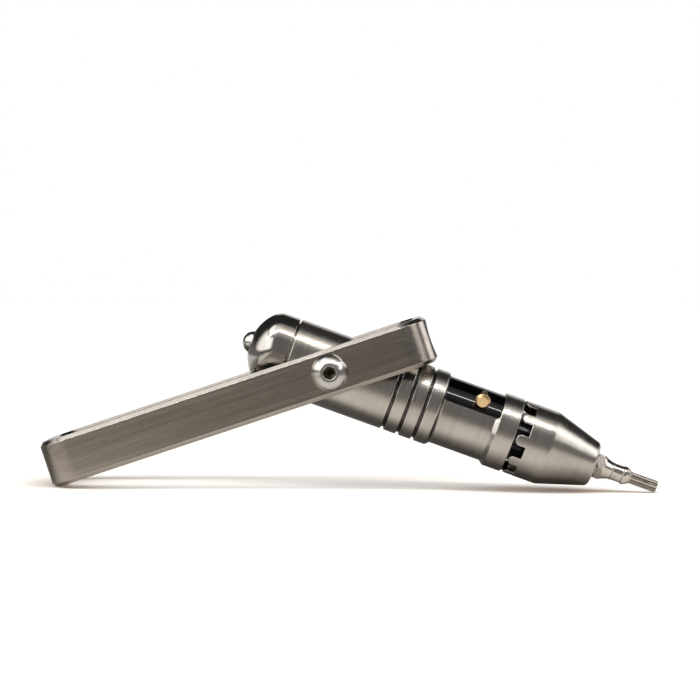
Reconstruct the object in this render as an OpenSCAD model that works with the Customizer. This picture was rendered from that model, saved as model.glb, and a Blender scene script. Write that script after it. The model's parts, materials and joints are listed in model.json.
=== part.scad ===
// Folding pocket screwdriver: a ratchet driver that pivots inside a loop-shaped handle frame.
// It stands on the frame's long end and the bit's tip, opened to its stop. Sizes in millimetres.
// Driver pieces are drawn with the driver's axis along X and the pivot at zero, then laid in place.

/* [Handle frame] */
// Pivot to the outside of the long end
frame_long = 77.3; // [60:0.1:100]
// Pivot to the outside of the short end
frame_short = 27.5; // [26:0.1:34]
// Height of the frame's bars
frame_height = 12; // [8:0.1:14]
// Thickness of the frame's bars
frame_wall = 3.5; // [2.5:0.1:5]
// Outside corner radius
frame_corner = 8; // [5:0.1:12]
// Bevel on the outside edges
frame_bevel = 1; // [0.3:0.05:1.5]
// Bevel on the inside edges
frame_inner_bevel = 0.25; // [0.1:0.05:0.8]
// Gap between the barrel and each long bar
frame_side_gap = 1.1; // [1:0.05:3]
// Gap left between the frame and the grip ring when fully open
stop_gap = 0.25; // [0.05:0.01:0.5]
// Depth of the hollow across the short end
scallop_depth = 0.4; // [0.2:0.05:0.8]
// Radius of the hollow across the short end
scallop_radius = 25; // [12:0.5:40]
// Depth of the ball's dimple inside the short end
dimple_depth = 0.6; // [0.3:0.05:1]

/* [Barrel] */
// Barrel diameter
barrel_diameter = 20; // [18:0.1:24]
// Pivot to the barrel's rear face
barrel_rear = 11.4; // [9:0.1:14]
// Pivot to the first grip groove
groove_start = 17.05; // [14:0.05:18]
// Distance from groove to groove
groove_pitch = 4.15; // [3:0.05:5]
// Width of a groove at the surface
groove_width = 1; // [0.8:0.05:2]
// Depth of a groove
groove_depth = 0.7; // [0.2:0.05:0.8]
// Width of the flat at the bottom of a groove
groove_bottom = 0.45; // [0.1:0.05:0.8]
// Number of grip grooves
groove_count = 3; // [1:1:3]
// Pivot to the front of the last grip ring
ring_end = 29.4; // [28:0.1:31]
// Wall of the waist round the ratchet's bore
waist_wall = 0.95; // [0.6:0.05:1.4]
// Length of the bevel from the last ring to the waist
waist_bevel = 1; // [0.5:0.1:2]
// Pivot to the rear of the collar
collar_start = 44.2; // [43:0.1:46]
// Length of the collar with its rear bevel
collar_length = 6.1; // [5:0.1:8]
// Length of the collar's rear bevel
collar_bevel = 1.1; // [0.3:0.1:1.5]
// Small bevel on turned edges
edge_break = 0.25; // [0.1:0.05:0.5]
// Diameter of the bore that holds the ratchet
bore_diameter = 16.2; // [15.5:0.1:16.6]
// Pivot to the bottom of the ratchet bore
web_front = 16; // [10:0.1:16.5]
// Diameter of the rear bore for the end cap
cap_bore_diameter = 14; // [10:0.1:16]
// Pivot to the bottom of the rear bore
web_rear = 5.5; // [5:0.1:7]

/* [Window and selector] */
// How far the window runs past the rear of the collar
window_over = 0.9; // [0.2:0.1:1.2]
// Length of the window
window_length = 15.2; // [14:0.1:16]
// Height of the window's lower edge above the axis
window_floor = 3.15; // [2:0.05:5]
// Corner radius of the window
window_corner = 1; // [0.3:0.1:2]
// Gap between the pad and the window
pad_gap = 0.1; // [0.08:0.01:0.3]
// Forward travel of the selector
selector_travel = 1.3; // [0.8:0.1:1.4]
// Height of the pad's surface above the sleeve
pad_height = 1.15; // [0.6:0.05:1.4]
// Wall of the selector sleeve
sleeve_wall = 1.45; // [1:0.05:1.5]
// Rear of the collar back to the middle of the knob
knob_position = 4.8; // [3:0.1:8]
// Diameter of the knob's head
knob_diameter = 4; // [3:0.1:4.2]
// Diameter of the knob's stem
knob_stem = 1.85; // [1.4:0.05:2.2]
// Thickness of the knob's head
knob_thickness = 1.3; // [0.8:0.1:1.8]
// Bevel round the knob's face
knob_bevel = 0.55; // [0.2:0.05:0.7]
// Angle of the stem's root round the barrel, up from level
knob_root_angle = 51.8; // [45:0.5:60]
// Angle at which the head points down
knob_droop = 26; // [15:1:32]
// Height of the stem's bend above the pad
knob_rise = 0.7; // [0.4:0.05:1]
// Bend of the stem to the face of the head
knob_reach = 4.3; // [3.5:0.05:4.4]
// Depth of the knob's pin in the sleeve
knob_seat = 0.9; // [0.5:0.05:1.2]
// Length of the flat spring under the sleeve
leaf_length = 9.8; // [6:0.1:14]
// Width of the flat spring
leaf_width = 3; // [2:0.1:4]
// Thickness of the flat spring
leaf_thickness = 0.3; // [0.2:0.05:0.4]
// Depth of the flat spring's groove in the sleeve
leaf_groove = 0.7; // [0.5:0.05:0.9]

/* [End cap and detent ball] */
// Width of the parting groove
parting_width = 0.4; // [0.3:0.05:1]
// Depth of the parting groove
parting_depth = 0.9; // [0.3:0.05:1.2]
// Parting groove to the crown of the dome
dome_crown = 10.6; // [9:0.1:11]
// Length of the dome's round part
dome_length = 6.8; // [5:0.1:8]
// Radius of the dome's shoulder
dome_shoulder = 4.5; // [3:0.1:5]
// Diameter of the detent ball
ball_diameter = 6; // [5:0.1:6.4]
// How far the ball stands out of the crown
ball_proud = 1.9; // [1.5:0.05:2.3]
// Wire diameter of the ball's spring
spring_wire = 0.7; // [0.4:0.05:0.9]
// Number of turns of the ball's spring
spring_turns = 5; // [3:1:8]
// Inset of the spring from the surface of its bore
spring_inset = 0.5; // [0.3:0.05:0.8]
// Length of the plug behind the spring
plug_length = 3.6; // [2:0.1:5]
// Depth of the plug inside the end cap
plug_recess = 0.9; // [0.5:0.1:1.5]
// Width across flats of the plug's hex socket
plug_socket = 3; // [2:0.1:3.5]
// Depth of the plug's hex socket
plug_socket_depth = 2; // [1:0.1:3]

/* [Pivot] */
// Diameter of the pivot screws
screw_diameter = 5; // [4:0.1:5.5]
// Diameter of the screw heads
screw_head = 9.5; // [8:0.1:10]
// Height of the screw heads
screw_head_height = 2.75; // [2:0.05:3.5]
// Height of the screw heads' straight rim
screw_rim = 0.35; // [0.2:0.05:0.8]
// Diameter of the flat on the screw heads
screw_flat = 4.75; // [4:0.05:6]
// Width across flats of the screw's hex socket
screw_socket = 3; // [2:0.1:3.5]
// Depth of the screw's hex socket
screw_socket_depth = 2; // [1:0.1:2.4]
// Bevel round the screw's hex socket
socket_bevel = 0.3; // [0.1:0.05:0.5]
// Length of screw in the barrel
screw_grip = 5.4; // [3:0.1:7]
// Wall of the bush the frame turns on
bush_wall = 1; // [0.6:0.05:1.2]
// Wall of the washer between the frame and the barrel
washer_wall = 0.8; // [0.5:0.05:0.9]
// Depth of the flat seat in the barrel's side
seat_depth = 1.1; // [1.05:0.05:2]
// Clearance between turning faces
turn_gap = 0.04; // [0.02:0.01:0.09]

/* [Ratchet] */
// Outside diameter of the pawl carrier
carrier_diameter = 13; // [12.6:0.1:13.2]
// Bore of the pawl carrier
carrier_bore = 9.4; // [9:0.1:9.6]
// Length of the carrier's flange
flange_length = 5; // [4:0.1:6]
// Gap from the carrier's front end to the spindle's journal
carrier_gap = 0.5; // [0.3:0.05:1]
// Diameter of the spindle's shaft
shaft_diameter = 6; // [5:0.1:6.4]
// Diameter of the spindle's rear journal
rear_journal = 5; // [4:0.1:5.6]
// Diameter of the spindle's front journal
front_journal = 9.3; // [8.6:0.1:9.3]
// Teeth on each wheel
wheel_teeth = 24; // [24:12:24]
// Tip diameter of the wheels
wheel_tip = 8.6; // [8.2:0.1:8.6]
// Depth of the wheel teeth
wheel_tooth = 0.7; // [0.5:0.05:0.7]
// Width of each wheel
wheel_width = 3; // [2:0.1:3.4]
// Distance from the pawl pins to the middle of each wheel
wheel_offset = 4.5; // [4.2:0.1:4.8]
// Rear of the collar back to the pawl pins
pawl_position = 9.7; // [9.2:0.1:10.2]
// Height of the pawl pins above the axis
pawl_height = 5.5; // [5.4:0.05:5.55]
// Diameter of the pawl pins
pin_diameter = 0.5; // [0.4:0.05:0.6]
// Length of the pawl pins
pin_length = 3.8; // [3:0.1:4]
// Width of the pawls
pawl_width = 2.3; // [1.8:0.1:2.4]
// Thickness of the pawls
pawl_thickness = 1; // [0.9:0.05:1.05]
// Tilt of a pawl from level to engaged
pawl_tilt = 4.5; // [4:0.1:5]
// Length of the tooth at each end of a pawl
foot_length = 1.4; // [1:0.1:1.6]
// Diameter of the thrust ball
thrust_diameter = 3; // [2:0.1:3.4]
// How far the rear bush stands out of the carrier's flange
bush_overhang = 1; // [0.5:0.1:1.5]
// Length of the front bush
bush_length = 3.7; // [2.5:0.1:4]
// Thickness of the circlip
circlip_width = 1; // [0.6:0.05:1.2]
// Depth of the circlip's groove in the spindle
circlip_depth = 0.6; // [0.4:0.05:0.8]
// Height of the circlip above the spindle
circlip_rise = 1.1; // [0.8:0.05:1.5]
// Width of the circlip's opening
circlip_opening = 2.4; // [1.5:0.1:4]

/* [Nose and bit] */
// How far the nose's cylinder lies below the barrel's ring
nose_step = 0.1; // [0:0.05:0.5]
// Gap from the collar to the tips of the nose's teeth
nose_gap = 0.4; // [0.3:0.05:1.2]
// Teeth round the nose's rear edge
castle_teeth = 10; // [6:1:12]
// Length of the nose's teeth
castle_length = 3.05; // [1.5:0.05:4]
// Width of the gaps between the nose's teeth
castle_gap = 3.35; // [2.4:0.05:3.6]
// Bevel on the corners of the nose's teeth
castle_bevel = 0.9; // [0.3:0.05:1]
// Wall of the toothed ring
castle_wall = 2.6; // [1.8:0.1:3.2]
// Collar to the bottom of the hollow in the nose
nose_hollow = 7.2; // [5:0.1:8]
// Collar to the start of the cone
cone_start = 9.6; // [8:0.1:11]
// Collar to the nose's front face
nose_length = 22.6; // [20:0.1:26]
// Diameter at the front of the cone
cone_end = 12.3; // [11:0.1:14]
// Radius of the nose's front edge
nose_round = 1.3; // [0.5:0.05:2]
// Bevel at the mouth of the bit's socket
mouth_bevel = 0.6; // [0.3:0.05:1]
// Width across flats of the bit's shank
bit_flats = 6.35; // [6:0.05:6.6]
// Gap round the shank in its socket
socket_gap = 0.03; // [0.02:0.01:0.08]
// Depth of the socket
socket_depth = 8.1; // [6:0.1:9]
// Length of the bit
bit_length = 25.4; // [22:0.1:30]
// Length of the bit's six-sided shank
shank_length = 10.8; // [10:0.1:12.5]
// Rear of the bit to its retaining notches
notch_position = 8.2; // [7.5:0.1:9.2]
// Width of the notches
notch_width = 1.4; // [1:0.1:1.6]
// Width of the notches at the bottom
notch_bottom = 0.5; // [0.3:0.05:0.8]
// Length of the round bevel at the front of the shank
shank_bevel = 1; // [0.5:0.1:1.5]
// Diameter of the bit's neck
bit_neck = 4.5; // [3.4:0.1:5]
// Length of the cone from the shank to the neck
neck_cone = 2; // [1:0.1:2.5]
// Height of the bead at the start of the neck
neck_bead = 0.15; // [0.05:0.05:0.4]
// Diameter of the small ring in front of the neck
bit_ring = 4.9; // [4.6:0.1:5.4]
// Width of the small ring
bit_ring_width = 0.9; // [0.3:0.05:1]
// Length of the cone from the ring to the tip
tip_cone = 1.45; // [1:0.05:2]
// Diameter of the six-lobe tip
lobe_diameter = 3.3; // [2.6:0.05:3.6]
// Length of the six-lobe tip
lobe_length = 7.3; // [5:0.1:8]
// Radius of the flutes between the lobes
flute_radius = 0.7; // [0.5:0.01:0.8]
// Bevel at the end of the tip
tip_bevel = 0.2; // [0.1:0.05:0.3]
// Diameter of the magnet behind the bit
magnet_diameter = 5.2; // [3:0.1:5.6]
// Length of the magnet
magnet_length = 2.6; // [1:0.1:3]

/* [Hidden] */
$fn = 96;
// How far a cutting shape runs past what it cuts
cut = 1;
// Clearance of sliding fits
slip = 0.05;
// Gap along the axis between pieces that turn
run_gap = 0.3;
// Gap between pieces that rest on each other
rest_gap = 0.02;
// How far one drawn shape runs into the next of the same piece
bite = 0.1;
hex_corner = 1 / cos(30);
barrel_r = barrel_diameter / 2;
bore_r = bore_diameter / 2;
waist_r = bore_r + waist_wall;
collar_r = barrel_r - slip;
collar_end = collar_start + collar_length;
window_end = collar_start + window_over;
window_start = window_end - window_length;
frame_inner = barrel_r + frame_side_gap;
frame_half = frame_inner + frame_wall;
inner_corner = frame_corner - frame_wall;
seat_y = barrel_r - seat_depth;
bush_inner_r = screw_diameter / 2;
bush_r = bush_inner_r + bush_wall;
sleeve_r = bore_r - slip;
sleeve_inner_r = sleeve_r - sleeve_wall;
sleeve_start = web_front + flange_length + 2 * selector_travel;
pad_r = sleeve_r + pad_height;
pad_end = window_end + pad_gap;
knob_bend_r = pad_r + knob_rise;
knob_x = collar_start - knob_position;
cap_front = barrel_rear + parting_width;
crown_x = cap_front + dome_crown;
dome_start = crown_x - dome_length;
shoulder_r = barrel_r - dome_shoulder;
crown_r = (pow(shoulder_r, 2) + pow(dome_length, 2) - pow(dome_shoulder, 2))
    / (2 * (dome_length - dome_shoulder));
crown_centre = crown_x - crown_r;
crown_angle = atan2(dome_start - crown_centre, shoulder_r);
ball_r = ball_diameter / 2;
ball_centre = -(crown_x + ball_proud - ball_r);
ball_bore_r = ball_r + slip;
mouth_r = ball_r - turn_gap;
mouth_end = crown_centre + sqrt(pow(crown_r, 2) - pow(mouth_r, 2));
coil_r = ball_r - spring_wire / 2 - spring_inset;
plug_end = web_rear + plug_recess;
spring_end = plug_end + plug_length;
coil_first = ball_centre + sqrt(pow(ball_r + spring_wire / 2 + rest_gap, 2) - pow(coil_r, 2));
coil_last = -spring_end - spring_wire / 2;
dimple_r = ball_r + run_gap;
carrier_r = carrier_diameter / 2;
flange_end = web_front + flange_length;
thrust_r = thrust_diameter / 2;
spindle_start = web_front + thrust_diameter + rest_gap;
rear_bush_r = rear_journal / 2 + 1.5 * bush_wall;
rear_bush_start = spindle_start - 2 * slip;
rear_bush_end = flange_end + bush_overhang;
shaft_start = rear_bush_end + run_gap;
wheel_tip_r = wheel_tip / 2;
wheel_root_r = wheel_tip_r - wheel_tooth;
slot_width = pawl_width + 2 * slip;
pawl_half = wheel_offset + foot_length / 2;
slot_half = pawl_half + run_gap;
pawl_x = collar_start - pawl_position;
journal_r = front_journal / 2;
front_bush_start = collar_end - run_gap - bush_length;
circlip_end = front_bush_start - 2 * slip;
circlip_start = circlip_end - circlip_width;
journal_start = circlip_start - run_gap;
carrier_end = journal_start - carrier_gap;
sleeve_end = carrier_end + 4 * slip;
nose_r = barrel_r - nose_step;
castle_tip = collar_end + nose_gap;
castle_root = castle_tip + castle_length;
hollow_end = collar_end + nose_hollow;
nose_end = collar_end + nose_length;
socket_bottom = nose_end - socket_depth;
magnet_start = socket_bottom - magnet_length;
bit_start = socket_bottom + rest_gap;
bit_end = bit_start + bit_length;
shank_end = bit_start + shank_length;
lobe_start = bit_end - lobe_length;
lobe_r = lobe_diameter / 2;
cone_angle = atan2(nose_r - cone_end / 2, nose_length - cone_start);

// The opening angle follows from the stop, and the lean of both legs from standing level.
stop_u = frame_short - frame_wall + frame_inner_bevel;
fold_angle = atan2(frame_height / 2, stop_u)
    + asin((barrel_r + stop_gap) / norm([stop_u, frame_height / 2]));
foot_u = frame_long - frame_bevel;
foot_v = frame_height / 2;
tip_reach = bit_end - tip_bevel;
driver_tilt = atan2(
    foot_u * sin(fold_angle) + foot_v * cos(fold_angle) - lobe_r,
    tip_reach + foot_u * cos(fold_angle) - foot_v * sin(fold_angle));
frame_tilt = fold_angle - driver_tilt;
pivot_z = tip_reach * sin(driver_tilt) + lobe_r * cos(driver_tilt);
left_x = -frame_long * cos(frame_tilt) - (foot_v - frame_bevel) * sin(frame_tilt);
right_x = bit_end * cos(driver_tilt) + (lobe_r - tip_bevel) * sin(driver_tilt);
pivot_x = -(left_x + right_x) / 2;

function arc(x, y, r, from, to, steps) =
    [for (i = [0:steps]) let (a = from + (to - from) * i / steps) [x + r * cos(a), y + r * sin(a)]];

// Lays a piece drawn along the driver's axis in its place.
module in_driver() {
    translate([pivot_x, 0, pivot_z]) rotate([0, driver_tilt, 0]) children();
}

// Lays a piece drawn along the frame's length in its place.
module in_frame() {
    translate([pivot_x, 0, pivot_z]) rotate([0, -frame_tilt, 0]) children();
}

// Turns a profile of [radius, distance from pivot] about the driver's axis.
module turned(profile) {
    rotate([0, 90, 0]) rotate_extrude() polygon(profile);
}

// A round bar along the driver's axis.
module bar(r, from, to) {
    translate([from, 0, 0]) rotate([0, 90, 0]) cylinder(r = r, h = to - from);
}

// A round bar across the driver at the pivot, from one distance out to another.
module cross_bar(side, r, from, to) {
    rotate([side * -90, 0, 0]) translate([0, 0, from]) cylinder(r = r, h = to - from);
}

// A round bar across the whole width, to cut with.
module through_bar(r, half) {
    rotate([90, 0, 0]) cylinder(r = r, h = 2 * (half + cut), center = true);
}

module frame_section() {
    b = frame_bevel;
    c = frame_inner_bevel;
    h = frame_height / 2;
    polygon([[0, c - h], [c, -h], [frame_wall - b, -h], [frame_wall, b - h],
        [frame_wall, h - b], [frame_wall - b, h], [c, h], [0, h - c]]);
}

module frame_corner_piece(x, y, angle) {
    translate([x, y, 0]) rotate([0, 0, angle])
        rotate_extrude(angle = 90) translate([inner_corner, 0]) frame_section();
}

module frame_bar(length) {
    linear_extrude(height = length) frame_section();
}

module frame_loop() {
    x0 = frame_corner - frame_long;
    x1 = frame_short - frame_corner;
    y1 = frame_half - frame_corner;
    frame_corner_piece(x1, y1, 0);
    frame_corner_piece(x0, y1, 90);
    frame_corner_piece(x0, -y1, 180);
    frame_corner_piece(x1, -y1, 270);
    translate([x1, frame_inner, 0]) rotate([90, 0, 90]) mirror([0, 0, 1]) frame_bar(x1 - x0);
    translate([x0, -frame_inner, 0]) rotate([90, 0, 270]) mirror([0, 0, 1]) frame_bar(x1 - x0);
    translate([frame_short - frame_wall, y1, 0]) rotate([90, 0, 0]) frame_bar(2 * y1);
    translate([frame_wall - frame_long, -y1, 0]) rotate([90, 0, 180]) frame_bar(2 * y1);
}

module handle_frame() {
    color([0.62, 0.6, 0.57]) in_frame() difference() {
        frame_loop();
        through_bar(bush_r + turn_gap, frame_half);
        translate([frame_short - scallop_depth + scallop_radius, 0, 0])
            through_bar(scallop_radius, frame_half);
        translate([frame_short - frame_wall + dimple_depth - dimple_r, 0, 0]) sphere(r = dimple_r);
    }
}

function groove(i) =
    let (g = groove_start + i * groove_pitch, r = barrel_r - groove_depth,
        s = (groove_width - groove_bottom) / 2)
    [[barrel_r, g], [r, g + s], [r, g + groove_width - s], [barrel_r, g + groove_width]];

module window_shape(from, to, low) {
    rotate([90, 0, 0]) linear_extrude(height = 4 * barrel_r, center = true) union() {
        translate([from + window_corner, low]) square([to - from - 2 * window_corner, 2 * barrel_r]);
        translate([from, low + window_corner]) square([to - from, 2 * barrel_r - window_corner]);
        translate([from + window_corner, low + window_corner]) circle(r = window_corner);
        translate([to - window_corner, low + window_corner]) circle(r = window_corner);
    }
}

module barrel() {
    outline = concat(
        [[0, -barrel_rear], [barrel_r - edge_break, -barrel_rear],
            [barrel_r, edge_break - barrel_rear]],
        [for (i = [0:groove_count - 1]) each groove(i)],
        [[barrel_r, ring_end], [waist_r, ring_end + waist_bevel], [waist_r, collar_start],
            [collar_r, collar_start + collar_bevel], [collar_r, collar_end - edge_break],
            [collar_r - edge_break, collar_end], [0, collar_end]]);
    color([0.66, 0.64, 0.61]) in_driver() difference() {
        turned(outline);
        bar(cap_bore_diameter / 2, -barrel_rear - cut, -web_rear);
        bar(bore_r, web_front, collar_end + cut);
        through_bar(bush_inner_r, barrel_r);
        for (side = [-1, 1]) cross_bar(side, bush_r + washer_wall, seat_y, barrel_r + cut);
        window_shape(window_start, window_end, window_floor);
        intersection() {
            bar(pad_r + pad_gap, window_end - 2 * window_corner, pad_end + selector_travel + pad_gap);
            window_shape(window_start, pad_end + selector_travel + pad_gap, window_floor);
        }
    }
}

module end_cap() {
    c = cap_bore_diameter / 2;
    n = barrel_r - parting_depth;
    outline = concat(
        [[ball_bore_r, -web_rear], [c, -web_rear], [c, -barrel_rear], [n, -barrel_rear],
            [n, -cap_front], [barrel_r - edge_break, -cap_front], [barrel_r, -cap_front - edge_break]],
        arc(shoulder_r, -dome_start, dome_shoulder, 0, -crown_angle, 10),
        arc(0, -crown_centre, crown_r, -crown_angle - 3, -acos(mouth_r / crown_r), 10),
        [[mouth_r, 2 * slip - mouth_end], [ball_bore_r, 5 * slip - mouth_end]]);
    color([0.7, 0.68, 0.65]) in_driver() turned(outline);
}

module detent_ball() {
    color([0.82, 0.82, 0.82]) in_driver() translate([ball_centre, 0, 0]) sphere(r = ball_r);
}

module detent_spring() {
    sides = 8;
    steps = 14 * spring_turns;
    rings = [for (i = [0:steps]) let (a = 360 * spring_turns * i / steps,
            x = coil_first + (coil_last - coil_first) * i / steps)
        for (k = [0:sides - 1]) let (b = 360 * k / sides, r = coil_r + spring_wire / 2 * cos(b))
            [x + spring_wire / 2 * sin(b), r * cos(a), r * sin(a)]];
    walls = [for (i = [0:steps - 1]) for (k = [0:sides - 1]) let (n = (k + 1) % sides)
        each [[i * sides + k, (i + 1) * sides + k, i * sides + n],
            [i * sides + n, (i + 1) * sides + k, (i + 1) * sides + n]]];
    ends = [[for (k = [0:sides - 1]) k], [for (k = [sides - 1:-1:0]) steps * sides + k]];
    color([0.6, 0.6, 0.62]) in_driver() polyhedron(points = rings, faces = concat(walls, ends));
}

module spring_plug() {
    color([0.35, 0.35, 0.36]) in_driver() difference() {
        bar(ball_bore_r, -spring_end, -plug_end);
        translate([-plug_end - plug_socket_depth, 0, 0]) rotate([0, 90, 0])
            cylinder(r = plug_socket / 2 * hex_corner, h = plug_socket_depth + cut, $fn = 6);
    }
}

// A button-head screw on one side of the driver.
module pivot_screw(side) {
    h = screw_head_height;
    r = screw_head / 2;
    top = screw_flat / 2;
    hex_r = screw_socket / 2;
    centre = (r * r + pow(screw_rim, 2) - top * top - h * h) / (2 * (screw_rim - h));
    sweep = norm([r, screw_rim - centre]);
    below = frame_half + turn_gap - seat_y + screw_grip;
    outline = concat([[0, 0], [r, 0]],
        arc(0, centre, sweep, atan2(screw_rim - centre, r), atan2(h - centre, top), 8), [[0, h]]);
    in_driver() rotate([side * -90, 0, 0]) translate([0, 0, frame_half + turn_gap]) difference() {
        union() {
            rotate_extrude() polygon(outline);
            translate([0, 0, -below]) cylinder(r = screw_diameter / 2, h = below + bite);
        }
        translate([0, 0, h - screw_socket_depth])
            cylinder(r = hex_r * hex_corner, h = screw_socket_depth + cut, $fn = 6);
        translate([0, 0, h - screw_socket_depth - hex_r / 2])
            cylinder(r1 = 0, r2 = hex_r, h = hex_r / 2);
        translate([0, 0, h - socket_bevel])
            cylinder(r1 = hex_r, r2 = hex_r + socket_bevel + bite, h = socket_bevel + bite);
    }
}

module near_screw() {
    color([0.75, 0.74, 0.72]) pivot_screw(-1);
}

module far_screw() {
    color([0.75, 0.74, 0.72]) pivot_screw(1);
}

// The sleeve that the frame turns on.
module pivot_bush(side) {
    in_driver() difference() {
        cross_bar(side, bush_r, seat_y, frame_half + turn_gap);
        cross_bar(side, bush_inner_r, seat_y - cut, frame_half + turn_gap + cut);
    }
}

module near_bush() {
    color([0.72, 0.58, 0.34]) pivot_bush(-1);
}

module far_bush() {
    color([0.72, 0.58, 0.34]) pivot_bush(1);
}

// The spacer between the frame and the barrel's seat.
module side_washer(side) {
    in_driver() difference() {
        cross_bar(side, bush_r + washer_wall, seat_y, frame_inner - turn_gap);
        cross_bar(side, bush_r, seat_y - cut, frame_inner + cut);
    }
}

module near_washer() {
    color([0.55, 0.54, 0.52]) side_washer(-1);
}

module far_washer() {
    color([0.55, 0.54, 0.52]) side_washer(1);
}

module pawl_carrier() {
    color([0.5, 0.5, 0.5]) in_driver() difference() {
        union() {
            bar(bore_r, web_front, flange_end);
            bar(carrier_r, web_front, carrier_end);
        }
        bar(thrust_r + slip, web_front - cut, carrier_end);
        bar(rear_bush_r, rear_bush_start, carrier_end);
        bar(carrier_bore / 2, rear_bush_end, carrier_end + cut);
        for (side = [-1, 1]) {
            rotate([side > 0 ? 0 : 180, 0, 0])
                translate([pawl_x - slot_half, -slot_width / 2, carrier_bore / 2 - cut])
                cube([2 * slot_half, slot_width, bore_r]);
            pawl_pin(side);
        }
    }
}

module rear_bush() {
    color([0.7, 0.56, 0.33]) in_driver() difference() {
        bar(rear_bush_r, rear_bush_start, rear_bush_end);
        bar(rear_journal / 2 + turn_gap, rear_bush_start - cut, rear_bush_end + cut);
    }
}

module front_bush() {
    color([0.7, 0.56, 0.33]) in_driver() difference() {
        bar(bore_r, front_bush_start, front_bush_start + bush_length);
        bar(journal_r + turn_gap, front_bush_start - cut, front_bush_start + bush_length + cut);
    }
}

module thrust_ball() {
    color([0.8, 0.8, 0.8]) in_driver() translate([web_front + thrust_r, 0, 0]) sphere(r = thrust_r);
}

module pawl_pin(side) {
    translate([pawl_x, 0, side * pawl_height]) rotate([90, 0, 0])
        cylinder(r = pin_diameter / 2, h = pin_length, center = true);
}

module upper_pin() {
    color([0.7, 0.7, 0.7]) in_driver() pawl_pin(1);
}

module lower_pin() {
    color([0.7, 0.7, 0.7]) in_driver() pawl_pin(-1);
}

// The tooth under one end of a pawl, drawn engaged with the wheel behind the pins.
module pawl_foot() {
    w = pawl_width / 2 - slip;
    low = wheel_root_r + 2 * slip;
    over = wheel_tip_r + 4 * slip;
    pitch = 360 / wheel_teeth;
    slope = (wheel_tip_r * cos(pitch) - wheel_root_r) / (wheel_tip_r * sin(pitch));
    top = pawl_height;
    translate([-pawl_half, 0, 0]) rotate([90, 0, 90]) linear_extrude(height = foot_length)
        polygon([[slip, low], [w, low + slope * (w - slip) + rest_gap], [w, top], [-w, top],
            [-w, over], [slip, over]]);
}

// A rocking pawl with a tooth at each end, level.
module pawl() {
    half = pawl_half;
    drop = half * tan(pawl_tilt);
    t = pawl_thickness / 2;
    difference() {
        union() {
            rotate([90, 0, 0]) linear_extrude(height = pawl_width, center = true)
                polygon([[-half, -t], [half, -t], [half, t - drop / 2], [0, t], [-half, t - drop / 2]]);
            for (turn = [0, 180]) rotate([0, 0, turn]) rotate([0, pawl_tilt, 0])
                translate([0, 0, -pawl_height]) pawl_foot();
        }
        through_bar(pin_diameter / 2 + rest_gap, pawl_width);
    }
}

// A pawl as it rests, with its rear tooth in the rear wheel.
module resting_pawl(side) {
    in_driver() rotate([side > 0 ? 0 : 180, 0, 0]) translate([pawl_x, 0, pawl_height])
        rotate([0, -pawl_tilt, 0]) pawl();
}

module upper_pawl() {
    color([0.58, 0.57, 0.55]) resting_pawl(1);
}

module lower_pawl() {
    color([0.58, 0.57, 0.55]) resting_pawl(-1);
}

// The flat spring, or with a gap round it the groove that it lies in.
module leaf(gap, height) {
    translate([(sleeve_start + sleeve_end - leaf_length) / 2 - gap, -leaf_width / 2 - gap,
        leaf_groove - sleeve_r - height])
        cube([leaf_length + 2 * gap, leaf_width + 2 * gap, height]);
}

module selector_sleeve() {
    bump_low = pawl_height + pawl_thickness / 2 + 2 * turn_gap;
    bump_width = pawl_width - run_gap;
    color([0.06, 0.06, 0.06]) in_driver() difference() {
        union() {
            difference() {
                bar(sleeve_r, sleeve_start, sleeve_end);
                bar(sleeve_inner_r, sleeve_start - cut, sleeve_end + cut);
            }
            for (turn = [0, 180]) rotate([turn, 0, 0])
                translate([pawl_x - selector_travel / 2 - pawl_thickness / 2, -bump_width / 2, bump_low])
                cube([pawl_thickness, bump_width, sleeve_inner_r + 3 * bite - bump_low]);
        }
        leaf(2 * slip, leaf_groove + cut);
        knob_root();
    }
}

module selector_pad() {
    color([0.05, 0.05, 0.05]) in_driver() difference() {
        intersection() {
            bar(pad_r, window_start, pad_end);
            window_shape(window_start + pad_gap, pad_end, window_floor + pad_gap);
        }
        bar(sleeve_r, window_start - cut, pad_end + cut);
        bar(bore_r + slip, front_bush_start - selector_travel - run_gap, pad_end + cut);
        knob_root();
    }
}

// The knob's pin, from inside the sleeve up to its bend.
module knob_root() {
    foot = sleeve_r - knob_seat;
    translate([knob_x, 0, 0]) rotate([90 - knob_root_angle, 0, 0])
        translate([0, 0, foot]) cylinder(r = knob_stem / 2, h = knob_bend_r - foot);
}

module selector_knob() {
    r = knob_diameter / 2;
    t = knob_thickness;
    b = knob_bevel;
    color([0.78, 0.6, 0.35]) in_driver() union() {
        knob_root();
        translate([knob_x, -knob_bend_r * cos(knob_root_angle),
            knob_bend_r * sin(knob_root_angle)]) {
            sphere(r = knob_stem / 2);
            rotate([90 + knob_droop, 0, 0]) {
                cylinder(r = knob_stem / 2, h = knob_reach - t / 2);
                rotate_extrude() polygon([[0, knob_reach - t], [r - b / 2, knob_reach - t],
                    [r, knob_reach - t + b / 2], [r, knob_reach - b], [r - b, knob_reach],
                    [0, knob_reach]]);
            }
        }
    }
}

module selector_spring() {
    color([0.6, 0.6, 0.6]) in_driver() leaf(0, leaf_thickness);
}

module spindle() {
    a = rear_journal / 2;
    b = shaft_diameter / 2;
    j = journal_r;
    g = j - circlip_depth;
    color([0.12, 0.12, 0.12]) in_driver() turned([[0, spindle_start], [a, spindle_start],
        [a, shaft_start], [b, shaft_start], [b, journal_start], [j, journal_start],
        [j, circlip_start], [g, circlip_start], [g, circlip_end], [j, circlip_end],
        [j, magnet_start], [0, magnet_start]]);
}

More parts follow.
